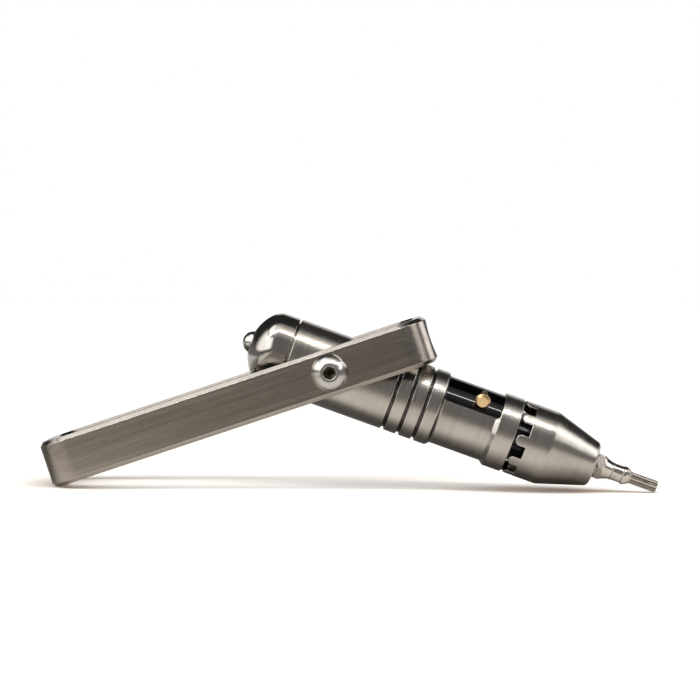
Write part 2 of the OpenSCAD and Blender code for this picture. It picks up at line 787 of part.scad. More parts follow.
// A saw-toothed wheel on the spindle, its teeth facing one way or the other.
module ratchet_wheel(middle, way) {
    pitch = 360 / wheel_teeth;
    outline = [for (i = [0:wheel_teeth - 1]) let (a = i * pitch)
        each [for (r = way > 0 ? [wheel_tip_r, wheel_root_r] : [wheel_root_r, wheel_tip_r])
            [r * cos(a), r * sin(a)]]];
    in_driver() translate([middle - wheel_width / 2, 0, 0]) rotate([0, 90, 0])
        linear_extrude(height = wheel_width) difference() {
            polygon(outline);
            circle(r = shaft_diameter / 2);
        }
}

module rear_wheel() {
    color([0.5, 0.5, 0.52]) ratchet_wheel(pawl_x - wheel_offset, -1);
}

module front_wheel() {
    color([0.5, 0.5, 0.52]) ratchet_wheel(pawl_x + wheel_offset, 1);
}

module circlip() {
    color([0.3, 0.3, 0.3]) in_driver() difference() {
        bar(journal_r + circlip_rise, circlip_start, circlip_end);
        bar(journal_r - circlip_depth, circlip_start - cut, circlip_end + cut);
        translate([circlip_start - cut, -circlip_opening / 2, -journal_r - circlip_rise - cut])
            cube([circlip_width + 2 * cut, circlip_opening, journal_r]);
    }
}

module nose() {
    e = cone_end / 2;
    outline = concat(
        [[nose_r - castle_wall, castle_tip], [nose_r - edge_break, castle_tip],
            [nose_r, castle_tip + edge_break], [nose_r, collar_end + cone_start]],
        arc(e - nose_round, nose_end - nose_round, nose_round, cone_angle, 90, 8),
        [[0, nose_end], [0, hollow_end], [nose_r - castle_wall, hollow_end]]);
    g = castle_gap / 2;
    f = bit_flats / 2;
    color([0.66, 0.64, 0.61]) in_driver() difference() {
        turned(outline);
        for (i = [0:castle_teeth - 1]) rotate([90 + (i + 0.5) * 360 / castle_teeth, 0, 0])
            translate([0, 0, journal_r]) linear_extrude(height = nose_r)
                polygon([[castle_root, -g], [castle_root, g], [castle_tip + castle_bevel, g],
                    [castle_tip - cut, g + castle_bevel + cut],
                    [castle_tip - cut, -g - castle_bevel - cut], [castle_tip + castle_bevel, -g]]);
        bar(journal_r, hollow_end - cut, magnet_start);
        bar(magnet_diameter / 2, magnet_start - cut, socket_bottom + bite);
        translate([socket_bottom, 0, 0]) rotate([0, 90, 0]) rotate(30)
            cylinder(r = (f + socket_gap) * hex_corner, h = socket_depth + cut, $fn = 6);
        turned([[0, nose_end - mouth_bevel], [f, nose_end - mouth_bevel],
            [f + mouth_bevel + cut, nose_end + cut], [0, nose_end + cut]]);
    }
}

module bit_magnet() {
    color([0.55, 0.55, 0.56]) in_driver() bar(magnet_diameter / 2, magnet_start, socket_bottom);
}

// The bit's six-sided shank, with its notches and rounded ends.
module bit_shank() {
    f = bit_flats / 2;
    corner = f * hex_corner;
    low = f + slip;
    notch = bit_start + notch_position;
    a = notch_width / 2;
    b = notch_bottom / 2;
    intersection() {
        translate([bit_start, 0, 0]) rotate([0, 90, 0]) rotate(30)
            cylinder(r = corner, h = shank_length + bite, $fn = 6);
        turned([[0, bit_start], [f - edge_break, bit_start], [corner, bit_start + 2 * edge_break],
            [corner, notch - a], [low, notch - b], [low, notch + b], [corner, notch + a],
            [corner, shank_end - shank_bevel], [f - edge_break, shank_end], [0, shank_end]]);
    }
}

// The six grooves along the bit's tip, round at the rear where the cutter stopped.
module bit_flutes() {
    for (i = [0:5]) rotate([i * 60, 0, 0])
        translate([lobe_start, 0, lobe_r + 0.3 * flute_radius]) {
            sphere(r = flute_radius);
            rotate([0, 90, 0]) cylinder(r = flute_radius, h = lobe_length + cut);
        }
}

module bit() {
    f = bit_flats / 2 - edge_break;
    n = bit_neck / 2;
    ring = bit_ring / 2;
    bead = shank_end + neck_cone;
    ring_front = lobe_start - tip_cone;
    ring_rear = ring_front - bit_ring_width;
    color([0.72, 0.7, 0.66]) in_driver() union() {
        bit_shank();
        difference() {
            turned([[0, shank_end - bite], [f, shank_end - bite], [f, shank_end], [n, bead],
                [n + neck_bead, bead + neck_bead], [n + neck_bead, bead + 2 * neck_bead],
                [n, bead + 3 * neck_bead], [n, ring_rear], [ring, ring_rear + ring - n],
                [ring, ring_front], [lobe_r, lobe_start], [lobe_r, tip_reach],
                [lobe_r - tip_bevel, bit_end], [0, bit_end]]);
            bit_flutes();
        }
    }
}

handle_frame();
barrel();
end_cap();
detent_ball();
detent_spring();
spring_plug();
near_screw();
far_screw();
near_bush();
far_bush();
near_washer();
far_washer();
pawl_carrier();
rear_bush();
front_bush();
thrust_ball();
upper_pin();
lower_pin();
upper_pawl();
lower_pawl();
selector_sleeve();
selector_pad();
selector_knob();
selector_spring();
spindle();
rear_wheel();
front_wheel();
circlip();
nose();
bit_magnet();
bit();
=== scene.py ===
import json
import math

import bpy
from mathutils import Matrix, Vector


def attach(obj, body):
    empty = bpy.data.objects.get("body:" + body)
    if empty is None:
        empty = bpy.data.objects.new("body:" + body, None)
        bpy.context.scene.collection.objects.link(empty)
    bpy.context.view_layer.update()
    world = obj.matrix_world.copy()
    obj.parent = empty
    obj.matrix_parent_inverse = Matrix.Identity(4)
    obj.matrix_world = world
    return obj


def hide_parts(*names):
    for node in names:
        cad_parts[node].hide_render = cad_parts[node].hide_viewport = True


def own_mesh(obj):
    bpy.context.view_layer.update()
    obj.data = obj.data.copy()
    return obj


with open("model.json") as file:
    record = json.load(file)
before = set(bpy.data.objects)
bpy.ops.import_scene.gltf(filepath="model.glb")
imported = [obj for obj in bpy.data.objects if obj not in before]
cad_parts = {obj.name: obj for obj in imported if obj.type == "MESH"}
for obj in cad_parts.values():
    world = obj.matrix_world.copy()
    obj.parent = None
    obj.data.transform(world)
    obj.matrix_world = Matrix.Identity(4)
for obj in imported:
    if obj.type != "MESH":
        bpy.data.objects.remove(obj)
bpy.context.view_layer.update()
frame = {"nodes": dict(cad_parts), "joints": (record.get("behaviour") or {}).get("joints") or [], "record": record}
nodes = frame["nodes"]
joints = {j["name"]: j for j in frame["joints"]}
mounts = {m["name"]: m for m in frame["record"]["mounts"]}
print("frame loaded:", len(nodes), "solids")

# the two lines that everything on this tool follows: the driver's axis and the frame's length
pivot = Vector(joints["frame_fold"]["pos_m"])
driverAxis = Vector(joints["chuck_spin"]["axis"])
frameAxis = -Vector(mounts["frame_end"]["axis"])
driverTilt = math.atan2(-driverAxis.z, driverAxis.x)
frameTilt = math.atan2(-frameAxis.z, frameAxis.x)


# small helpers for node trees

def addNode(tree, kind, values=None, **settings):
    node = tree.nodes.new(kind)
    for key, value in settings.items():
        setattr(node, key, value)
    for key, value in (values or {}).items():
        if isinstance(value, bpy.types.NodeSocket):
            tree.links.new(value, node.inputs[key])
        else:
            node.inputs[key].default_value = value
    return node


def mathNode(tree, operation, a, b=0.0, clamp=False):
    return addNode(tree, "ShaderNodeMath", {0: a, 1: b}, operation=operation, use_clamp=clamp).outputs[0]


def multiplyAdd(tree, a, b, c):
    return addNode(tree, "ShaderNodeMath", {0: a, 1: b, 2: c}, operation="MULTIPLY_ADD").outputs[0]


def distanceNode(tree, a, b):
    squares = [mathNode(tree, "MULTIPLY", value, value) for value in (a, b)]
    return mathNode(tree, "SQRT", mathNode(tree, "ADD", *squares))


def rangeNode(tree, value, fromMin, fromMax, toMin=0.0, toMax=1.0, smooth=True):
    kind = "SMOOTHSTEP" if smooth else "LINEAR"
    values = {0: value, 1: fromMin, 2: fromMax, 3: toMin, 4: toMax}
    return addNode(tree, "ShaderNodeMapRange", values, interpolation_type=kind).outputs[0]


def bandMask(tree, value, low, high, soft):
    rising = rangeNode(tree, value, low - soft, low + soft)
    falling = rangeNode(tree, value, high + soft, high - soft)
    return mathNode(tree, "MULTIPLY", rising, falling)


def mixColour(tree, factor, a, b, blend="MIX"):
    node = addNode(tree, "ShaderNodeMix", data_type="RGBA", blend_type=blend)
    for index, value in ((0, factor), (6, a), (7, b)):
        if isinstance(value, bpy.types.NodeSocket):
            tree.links.new(value, node.inputs[index])
        else:
            node.inputs[index].default_value = value
    return node.outputs[2]


def startGroup(name, inputs, outputs):
    group = bpy.data.node_groups.new(name, "ShaderNodeTree")
    for label, kind, value in inputs:
        socket = group.interface.new_socket(name=label, in_out="INPUT", socket_type=kind)
        if value is not None:
            socket.default_value = value
    for label, kind in outputs:
        group.interface.new_socket(name=label, in_out="OUTPUT", socket_type=kind)
    return group, group.nodes.new("NodeGroupInput"), group.nodes.new("NodeGroupOutput")


# shared surface effects

effects = {
    "noiseSpan": (0.3, 0.7), "broadScale": 0.35, "edgeFacing": (0.995, 0.86),
    "rubScale": 1.4, "rubSpan": (0.3, 0.65), "rubLeast": 0.35, "cloudSpan": (0.35, 0.68),
}


def makeBrushing():
    # hairlines: stretched noise in two weights, in millimetres
    group, come, go = startGroup("brushing", [
        ("Vector", "NodeSocketVector", None),
        ("Stretch", "NodeSocketVector", (0.05, 6.0, 6.0)),
        ("Fine", "NodeSocketFloat", 4.0),
    ], [("Lines", "NodeSocketFloat"), ("Bands", "NodeSocketFloat")])
    stretched = addNode(group, "ShaderNodeVectorMath", {
        0: come.outputs["Vector"], 1: come.outputs["Stretch"]}, operation="MULTIPLY").outputs[0]
    fine = addNode(group, "ShaderNodeTexNoise", {
        "Vector": stretched, "Scale": come.outputs["Fine"], "Detail": 4.0, "Roughness": 0.7})
    broad = addNode(group, "ShaderNodeTexNoise", {
        "Vector": stretched, "Scale": effects["broadScale"], "Detail": 3.0, "Roughness": 0.6})
    span = effects["noiseSpan"]
    group.links.new(rangeNode(group, fine.outputs[0], *span, smooth=False), go.inputs["Lines"])
    group.links.new(rangeNode(group, broad.outputs[0], *span), go.inputs["Bands"])
    return group


def makeEdgeWearAndHighlight():
    # bright edges, partly rubbed wear and partly a painted highlight, broken up by noise, and the normal of a
    # slightly rounded edge
    group, come, go = startGroup("edgeWearAndHighlight", [
        ("Vector", "NodeSocketVector", None),
        ("Radius", "NodeSocketFloat", 0.0002),
    ], [("Mask", "NodeSocketFloat"), ("Normal", "NodeSocketVector")])
    bevel = addNode(group, "ShaderNodeBevel", {"Radius": come.outputs["Radius"]}, samples=8)
    group.links.new(bevel.outputs[0], go.inputs["Normal"])
    geometry = addNode(group, "ShaderNodeNewGeometry")
    dot = addNode(group, "ShaderNodeVectorMath", {0: bevel.outputs[0], 1: geometry.outputs["Normal"]},
                  operation="DOT_PRODUCT").outputs["Value"]
    edge = rangeNode(group, dot, *effects["edgeFacing"])
    breakUp = addNode(group, "ShaderNodeTexNoise", {
        "Vector": come.outputs["Vector"], "Scale": effects["rubScale"], "Detail": 3.0})
    rubbed = rangeNode(group, breakUp.outputs[0], *effects["rubSpan"], effects["rubLeast"], 1.0)
    group.links.new(mathNode(group, "MULTIPLY", edge, rubbed), go.inputs["Mask"])
    return group


def makeHandling():
    # faint cloudy marks left by fingers and oil
    group, come, go = startGroup("handling", [
        ("Vector", "NodeSocketVector", None),
        ("Size", "NodeSocketFloat", 0.12),
    ], [("Cloud", "NodeSocketFloat")])
    cloud = addNode(group, "ShaderNodeTexNoise", {
        "Vector": come.outputs["Vector"], "Scale": come.outputs["Size"], "Detail": 5.0,
        "Roughness": 0.62, "Distortion": 0.4})
    group.links.new(rangeNode(group, cloud.outputs[0], *effects["cloudSpan"]), go.inputs["Cloud"])
    return group


brushing = makeBrushing()
edgeWearAndHighlight = makeEdgeWearAndHighlight()
handling = makeHandling()


def placeGroup(tree, group, values):
    return addNode(tree, "ShaderNodeGroup", values, node_tree=group)


millimetres = 1000.0


def localMillimetres(tree, tilt):
    # object coordinates turned so that X runs along the piece, in mm from the pivot
    coords = addNode(tree, "ShaderNodeTexCoord")
    turn = Matrix.Rotation(-tilt, 3, "Y")
    mapping = addNode(tree, "ShaderNodeMapping", {"Vector": coords.outputs["Object"]})
    mapping.inputs["Scale"].default_value = (millimetres, millimetres, millimetres)
    mapping.inputs["Rotation"].default_value = (0.0, -tilt, 0.0)
    mapping.inputs["Location"].default_value = -millimetres * (turn @ pivot)
    return mapping.outputs[0]


# how every metal takes its marks and its painted shade: widths of soft borders in mm, depth of the dents in metres
metal = {
    "bandShare": 0.4, "socketSoft": 0.1, "grooveSoft": 0.12, "grooveEnds": 0.05,
    "insideSoft": 0.2, "loopEnds": 0.1, "wornPolish": -0.06,
    "dentScale": 2.4, "dentDepth": 0.0002, "mottle": 0.02,
}


def metalMaterial(name, finish):
    material = bpy.data.materials.new(name)
    material.use_nodes = True
    tree = material.node_tree
    shader = tree.nodes["Principled BSDF"]
    vector = localMillimetres(tree, finish["tilt"])
    lines = placeGroup(tree, brushing, {
        "Vector": vector, "Stretch": finish["stretch"], "Fine": finish["fine"]})
    wearAndHighlight = placeGroup(tree, edgeWearAndHighlight, {"Vector": vector, "Radius": finish["wearAndHighlightRadius"]})
    marks = placeGroup(tree, handling, {"Vector": vector, "Size": finish["cloudSize"]})
    colour = mixColour(tree, lines.outputs["Lines"], finish["dark"], finish["light"])
    bands = mixColour(tree, lines.outputs["Bands"], finish["dark"], finish["light"])
    colour = mixColour(tree, metal["bandShare"], colour, bands)
    cloudAmount = mathNode(tree, "MULTIPLY", marks.outputs["Cloud"], finish["cloud"])
    colour = mixColour(tree, cloudAmount, colour, finish["stain"])
    along, side, height = addNode(tree, "ShaderNodeSeparateXYZ", {0: vector}).outputs
    # painted shade inside the screw's socket: darker within its radius and below its mouth
    if "socket" in finish:
        across = distanceNode(tree, along, height)
        deep = mathNode(tree, "LESS_THAN", mathNode(tree, "ABSOLUTE", side), finish["socketMouth"])
        within = rangeNode(tree, across, finish["socket"] + metal["socketSoft"], finish["socket"])
        colour = mixColour(tree, mathNode(tree, "MULTIPLY", within, deep), colour, finish["paintedShade"])
    # painted shade at the bottoms of the grooves and the bit's flutes
    if "groove" in finish:
        across = distanceNode(tree, side, height)
        soft = metal["grooveSoft"]
        for start, end, depth in finish["groove"]:
            paintedShade = mathNode(tree, "MULTIPLY", rangeNode(tree, across, depth + soft, depth - soft),
                             bandMask(tree, along, start, end, metal["grooveEnds"]))
            colour = mixColour(tree, paintedShade, colour, finish["paintedShade"])
    # painted shade on the inner faces of the frame's loop
    if "inside" in finish:
        across = mathNode(tree, "ABSOLUTE", side)
        within = rangeNode(tree, across, finish["inside"] + metal["insideSoft"], finish["inside"])
        paintedShade = mathNode(tree, "MULTIPLY", within, bandMask(tree, along, *finish["loop"], metal["loopEnds"]))
        colour = mixColour(tree, paintedShade, colour, finish["paintedShade"])
    # edges take the edge colour: partly real rubbed wear, partly a painted highlight
    wornAndHighlit = mathNode(tree, "MULTIPLY", wearAndHighlight.outputs["Mask"], finish["wearAndHighlight"])
    colour = mixColour(tree, wornAndHighlit, colour, finish["edge"])
    tree.links.new(colour, shader.inputs["Base Color"])
    rough = multiplyAdd(tree, lines.outputs["Lines"], finish["roughLines"], finish["rough"])
    cloudRough = mathNode(tree, "MULTIPLY", marks.outputs["Cloud"], finish["roughCloud"])
    rough = mathNode(tree, "ADD", rough, cloudRough)
    smoother = mathNode(tree, "MULTIPLY", wornAndHighlit, metal["wornPolish"])
    rough = mathNode(tree, "ADD", rough, smoother, clamp=True)
    tree.links.new(rough, shader.inputs["Roughness"])
    shader.inputs["Metallic"].default_value = 1.0
    dents = addNode(tree, "ShaderNodeTexNoise", {
        "Vector": vector, "Scale": metal["dentScale"], "Detail": 2.0, "Roughness": 0.5})
    mottle = addNode(tree, "ShaderNodeBump", {"Height": dents.outputs[0], "Normal": wearAndHighlight.outputs["Normal"]})
    mottle.inputs["Strength"].default_value = finish.get("mottle", metal["mottle"])
    mottle.inputs["Distance"].default_value = metal["dentDepth"]
    bump = addNode(tree, "ShaderNodeBump", {"Height": lines.outputs["Lines"], "Normal": mottle.outputs[0]})
    bump.inputs["Strength"].default_value = finish["bump"]
    bump.inputs["Distance"].default_value = finish["bumpDepth"]
    tree.links.new(bump.outputs[0], shader.inputs["Normal"])
    return material


# finishes, one for each kind of surface on the tool

def rgb(r, g, b):
    return (r, g, b, 1.0)


# in each finish the edge colour is partly rubbed wear and partly a painted highlight
frameSteel = {
    "tilt": frameTilt, "stretch": (0.02, 1.2, 1.2), "fine": 2.2,
    "dark": rgb(0.33, 0.29, 0.25), "light": rgb(0.56, 0.51, 0.455), "stain": rgb(0.34, 0.3, 0.26),
    "cloud": 0.25, "edge": rgb(0.72, 0.69, 0.65), "wearAndHighlight": 0.7, "wearAndHighlightRadius": 0.00025, "cloudSize": 0.1,
    "rough": 0.13, "roughLines": 0.08, "roughCloud": 0.04, "bump": 0.4, "bumpDepth": 0.00002,
    "mottle": 0.02,
    # painted shade on the frame's inner faces
    "inside": 11.15, "loop": (-73.6, 23.2), "paintedShade": rgb(0.1, 0.088, 0.076),
}
turnedSteel = {
    "tilt": driverTilt, "stretch": (1.6, 0.06, 0.06), "fine": 2.2,
    "dark": rgb(0.45, 0.415, 0.375), "light": rgb(0.58, 0.545, 0.5), "stain": rgb(0.38, 0.355, 0.32),
    "cloud": 0.25, "edge": rgb(0.9, 0.88, 0.84), "wearAndHighlight": 0.9, "wearAndHighlightRadius": 0.00028, "cloudSize": 0.16,
    # painted shade at the bottoms of the barrel's grooves
    "groove": [(16.0, 30.0, 9.75), (50.2, 54.2, 9.3)], "paintedShade": rgb(0.06, 0.052, 0.045),
    "rough": 0.19, "roughLines": 0.06, "roughCloud": 0.03, "bump": 0.3, "bumpDepth": 0.00002,
    "mottle": 0.13,
}
domeSteel = dict(turnedSteel, rough=0.1, roughLines=0.04, bump=0.1, mottle=0.05)
polishedSteel = {
    "tilt": driverTilt, "stretch": (2.0, 2.0, 2.0), "fine": 1.0,
    "dark": rgb(0.55, 0.53, 0.5), "light": rgb(0.62, 0.6, 0.57), "stain": rgb(0.5, 0.48, 0.45),
    "cloud": 0.2, "edge": rgb(0.8, 0.78, 0.75), "wearAndHighlight": 0.6, "wearAndHighlightRadius": 0.00015, "cloudSize": 0.3,
    "rough": 0.1, "roughLines": 0.05, "roughCloud": 0.06, "bump": 0.05, "bumpDepth": 0.00001,
}
# painted shade inside the screw's hex socket
screwSteel = dict(polishedSteel, rough=0.17, socket=2.2, socketMouth=17.0, paintedShade=rgb(0.07, 0.055, 0.042))
blackSteel = {
    "tilt": driverTilt, "stretch": (0.6, 3.0, 3.0), "fine": 1.0,
    "dark": rgb(0.03, 0.03, 0.031), "light": rgb(0.046, 0.046, 0.047), "stain": rgb(0.04, 0.036, 0.032),
    "cloud": 0.3, "edge": rgb(0.3, 0.29, 0.28), "wearAndHighlight": 0.5, "wearAndHighlightRadius": 0.00012, "cloudSize": 0.25,
    "rough": 0.02, "roughLines": 0.01, "roughCloud": 0.01, "bump": 0.02, "bumpDepth": 0.00001,
    "mottle": 0.004,
}
darkSteel = {
    "tilt": driverTilt, "stretch": (6.0, 0.3, 0.3), "fine": 1.2,
    "dark": rgb(0.03, 0.03, 0.032), "light": rgb(0.075, 0.072, 0.07), "stain": rgb(0.05, 0.045, 0.04),
    "cloud": 0.4, "edge": rgb(0.3, 0.29, 0.27), "wearAndHighlight": 0.5, "wearAndHighlightRadius": 0.00015, "cloudSize": 0.3,
    "rough": 0.14, "roughLines": 0.1, "roughCloud": 0.08, "bump": 0.1, "bumpDepth": 0.00001,
}
innerSteel = {
    "tilt": driverTilt, "stretch": (4.0, 0.4, 0.4), "fine": 1.2,
    "dark": rgb(0.3, 0.29, 0.28), "light": rgb(0.42, 0.41, 0.4), "stain": rgb(0.22, 0.2, 0.18),
    "cloud": 0.4, "edge": rgb(0.6, 0.59, 0.57), "wearAndHighlight": 0.5, "wearAndHighlightRadius": 0.00015, "cloudSize": 0.3,
    "rough": 0.28, "roughLines": 0.12, "roughCloud": 0.08, "bump": 0.15, "bumpDepth": 0.00001,
}
brass = {
    "tilt": driverTilt, "stretch": (3.0, 3.0, 3.0), "fine": 1.2,
    "dark": rgb(0.7, 0.47, 0.22), "light": rgb(0.88, 0.66, 0.38), "stain": rgb(0.55, 0.35, 0.17),
    "cloud": 0.3, "edge": rgb(0.9, 0.74, 0.5), "wearAndHighlight": 0.7, "wearAndHighlightRadius": 0.00015, "cloudSize": 0.6,
    "rough": 0.2, "roughLines": 0.12, "roughCloud": 0.08, "bump": 0.15, "bumpDepth": 0.00001,
}
bitSteel = {
    "tilt": driverTilt, "stretch": (0.5, 3.0, 3.0), "fine": 1.4,
    "dark": rgb(0.6, 0.55, 0.49), "light": rgb(0.74, 0.69, 0.63), "stain": rgb(0.5, 0.46, 0.41),
    "cloud": 0.3, "edge": rgb(0.85, 0.82, 0.78), "wearAndHighlight": 0.6, "wearAndHighlightRadius": 0.00012, "cloudSize": 0.5,
    "rough": 0.14, "roughLines": 0.05, "roughCloud": 0.04, "bump": 0.08, "bumpDepth": 0.00001,
    "mottle": 0.03,
    # painted shade in the bit's flutes
    "groove": [(82.9, 91.0, 1.32)], "paintedShade": rgb(0.2, 0.17, 0.14),
}

materials = {
    "frameSteel": metalMaterial("frame steel", frameSteel),
    "turnedSteel": metalMaterial("turned steel", turnedSteel),
    "domeSteel": metalMaterial("dome steel", domeSteel),
    "polishedSteel": metalMaterial("polished steel", polishedSteel),
    "screwSteel": metalMaterial("screw steel", screwSteel),
    "blackSteel": metalMaterial("black selector", blackSteel),
    "darkSteel": metalMaterial("dark oiled steel", darkSteel),
    "innerSteel": metalMaterial("machined inner steel", innerSteel),
    "brass": metalMaterial("turned brass", brass),
    "bitSteel": metalMaterial("satin nickel bit", bitSteel),
}

finishOf = {
    "handle_frame": "frameSteel", "barrel": "turnedSteel", "nose": "turnedSteel", "end_cap": "domeSteel",
    "detent_ball": "polishedSteel", "near_screw": "screwSteel", "far_screw": "screwSteel",
    "selector_pad": "blackSteel", "selector_sleeve": "blackSteel", "selector_knob": "brass",
    "near_bush": "brass", "far_bush": "brass", "rear_bush": "brass", "front_bush": "brass",
    "spindle": "darkSteel", "circlip": "darkSteel", "spring_plug": "darkSteel", "bit": "bitSteel",
}
for name, node in nodes.items():
    node.data.materials.clear()
    node.data.materials.append(materials[finishOf.get(name, "innerSteel")])
print("finishes on all solids")


# start and end of a piece grown by Geometry Nodes, whose sizes are the tree's inputs

def startShape(name, sizes):
    tree = bpy.data.node_groups.new(name, "GeometryNodeTree")
    for label, value in sizes.items():
        socket = tree.interface.new_socket(name=label, in_out="INPUT", socket_type="NodeSocketFloat")
        socket.default_value = value
    tree.interface.new_socket(name="Material", in_out="INPUT", socket_type="NodeSocketMaterial")
    tree.interface.new_socket(name="Geometry", in_out="OUTPUT", socket_type="NodeSocketGeometry")
    return tree, tree.nodes.new("NodeGroupInput").outputs, tree.nodes.new("NodeGroupOutput")


def endShape(tree, size, go, shape):
    real = addNode(tree, "GeometryNodeRealizeInstances", {"Geometry": shape.outputs[0]})
    dressed = addNode(tree, "GeometryNodeSetMaterial", {
        "Geometry": real.outputs[0], "Material": size["Material"]})
    tree.links.new(dressed.outputs[0], go.inputs[0])


# handle frame: one bevelled section swept round the loop, then bored, hollowed and dimpled

frameSizes = {
    "Long": 0.0773, "Short": 0.0275, "Half width": 0.0146, "Corner": 0.008, "Height": 0.012, "Wall": 0.0035,
    "Outer bevel": 0.001, "Inner bevel": 0.00065, "Bore": 0.00354, "Hollow radius": 0.025,
    "Hollow depth": 0.0004, "Dimple radius": 0.0033, "Dimple depth": 0.0006,
}


def sweptFrameTree():
    tree, size, go = startShape("swept frame", frameSizes)

    def add(a, b):
        return mathNode(tree, "ADD", a, b)

    def less(a, b):
        return mathNode(tree, "SUBTRACT", a, b)

    def times(a, b):
        return mathNode(tree, "MULTIPLY", a, b)

    def point(x=0.0, y=0.0, z=0.0):
        return addNode(tree, "ShaderNodeCombineXYZ", {0: x, 1: y, 2: z}).outputs[0]

    # path along the middle of the bar
    halfWall = times(size["Wall"], 0.5)
    path = addNode(tree, "GeometryNodeCurvePrimitiveQuadrilateral", mode="RECTANGLE")
    tree.links.new(less(add(size["Long"], size["Short"]), size["Wall"]), path.inputs["Width"])
    tree.links.new(less(times(size["Half width"], 2.0), size["Wall"]), path.inputs["Height"])
    middle = times(less(size["Short"], size["Long"]), 0.5)
    moved = addNode(tree, "GeometryNodeTransform", {
        "Geometry": path.outputs[0], "Translation": point(middle)})
    rounded = addNode(tree, "GeometryNodeFilletCurve", {"Curve": moved.outputs[0]}, mode="POLY")
    rounded.inputs["Count"].default_value = 20
    rounded.inputs["Limit Radius"].default_value = True
    tree.links.new(less(size["Corner"], halfWall), rounded.inputs["Radius"])
    level = addNode(tree, "GeometryNodeSetCurveNormal", {"Curve": rounded.outputs[0]}, mode="Z_UP")

    # section with its own bevels inside and outside
    halfHeight = times(size["Height"], 0.5)
    sides = []
    for way, bevel in ((1.0, size["Outer bevel"]), (-1.0, size["Inner bevel"])):
        wall, edge = times(halfWall, way), times(less(halfWall, bevel), way)
        sides.append([(wall, less(halfHeight, bevel)), (edge, halfHeight)])
    (outerSide, outerTop), (innerSide, innerTop) = sides
    corners = [outerSide, outerTop, innerTop, innerSide]
    corners += [(a, times(b, -1.0)) for a, b in reversed(corners)]
    ring = addNode(tree, "GeometryNodeCurvePrimitiveCircle", {"Resolution": len(corners)})
    pick = addNode(tree, "GeometryNodeIndexSwitch", data_type="VECTOR")
    while len(pick.index_switch_items) < len(corners):
        pick.index_switch_items.new()
    tree.links.new(addNode(tree, "GeometryNodeInputIndex").outputs[0], pick.inputs[0])
    for number, (a, b) in enumerate(corners):
        tree.links.new(point(a, b), pick.inputs[number + 1])
    section = addNode(tree, "GeometryNodeSetPosition", {
        "Geometry": ring.outputs[0], "Position": pick.outputs[0]})
    sweep = addNode(tree, "GeometryNodeCurveToMesh", {
        "Curve": level.outputs[0], "Profile Curve": section.outputs[0]})

    # the pivot's bore, the hollow across the short end and the ball's dimple
    reach = times(size["Half width"], 4.0)
    cuts = []
    hollowX = less(add(size["Short"], size["Hollow radius"]), size["Hollow depth"])
    for radius, x, facets in ((size["Bore"], 0.0, 64), (size["Hollow radius"], hollowX, 256)):
        rod = addNode(tree, "GeometryNodeMeshCylinder", {
            "Vertices": facets, "Radius": radius, "Depth": reach})
        laid = addNode(tree, "GeometryNodeTransform", {
            "Geometry": rod.outputs[0], "Translation": point(x), "Rotation": (math.pi / 2, 0.0, 0.0)})
        cuts.append(laid.outputs[0])
    ball = addNode(tree, "GeometryNodeMeshUVSphere", {
        "Segments": 64, "Rings": 32, "Radius": size["Dimple radius"]})
    dimpleX = less(add(less(size["Short"], size["Wall"]), size["Dimple depth"]), size["Dimple radius"])
    cuts.append(addNode(tree, "GeometryNodeTransform", {
        "Geometry": ball.outputs[0], "Translation": point(dimpleX)}).outputs[0])
    carved = addNode(tree, "GeometryNodeMeshBoolean", {"Mesh 1": sweep.outputs[0]}, operation="DIFFERENCE")
    carved.solver = "EXACT"
    for cut in cuts:
        tree.links.new(cut, carved.inputs["Mesh 2"])
    endShape(tree, size, go, carved)
    return tree


sharpAngle = 20.0


def growPiece(name, tree, sizes, material, tilt):
    # runs a node tree on a blank object, keeps the plain mesh and lays it along the driver or the frame
    blank = bpy.data.objects.new(name + "Blank", bpy.data.meshes.new(name + "Blank"))
    bpy.context.scene.collection.objects.link(blank)
    modifier = blank.modifiers.new(name, "NODES")
    modifier.node_group = tree
    for item in tree.interface.items_tree:
        if item.in_out == "INPUT":
            modifier[item.identifier] = materials[material] if item.name == "Material" else sizes[item.name]
    mesh = bpy.data.meshes.new_from_object(blank.evaluated_get(bpy.context.evaluated_depsgraph_get()))
    bpy.data.objects.remove(blank)
    mesh.name = name
    mesh.transform(Matrix.Translation(pivot) @ Matrix.Rotation(tilt, 4, "Y"))
    mesh.polygons.foreach_set("use_smooth", [True] * len(mesh.polygons))
    mesh.set_sharp_from_angle(angle=math.radians(sharpAngle))
    piece = bpy.data.objects.new(name, mesh)
    bpy.context.scene.collection.objects.link(piece)
    return piece


frameLoop = growPiece("frameLoop", sweptFrameTree(), frameSizes, "frameSteel", frameTilt)
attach(frameLoop, "frame")
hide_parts("handle_frame")
print("frame swept:", len(frameLoop.data.polygons), "faces")

# ball spring: a round wire wound along the driver's axis

springSizes = {"Radius": 0.00215, "Wire": 0.0007, "First": -0.018705, "Last": -0.01035, "Turns": 5.0}


def coilTree():
    tree, size, go = startShape("coil", springSizes)
    length = mathNode(tree, "SUBTRACT", size["Last"], size["First"])
    path = addNode(tree, "GeometryNodeCurveSpiral", {
        "Resolution": 40, "Rotations": size["Turns"], "Height": length,
        "Start Radius": size["Radius"], "End Radius": size["Radius"]})
    place = addNode(tree, "ShaderNodeCombineXYZ", {0: size["First"]})
    laid = addNode(tree, "GeometryNodeTransform", {
        "Geometry": path.outputs[0], "Translation": place.outputs[0], "Rotation": (0.0, math.pi / 2, 0.0)})
    wire = addNode(tree, "GeometryNodeCurvePrimitiveCircle", {
        "Resolution": 16, "Radius": mathNode(tree, "MULTIPLY", size["Wire"], 0.5)})
    tube = addNode(tree, "GeometryNodeCurveToMesh", {
        "Curve": laid.outputs[0], "Profile Curve": wire.outputs[0], "Fill Caps": True})
    endShape(tree, size, go, tube)
    return tree


ballSpring = growPiece("ballSpring", coilTree(), springSizes, "innerSteel", driverTilt)
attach(ballSpring, "body")
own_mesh(ballSpring)
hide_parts("detent_spring")
print("spring wound:", len(ballSpring.data.polygons), "faces")
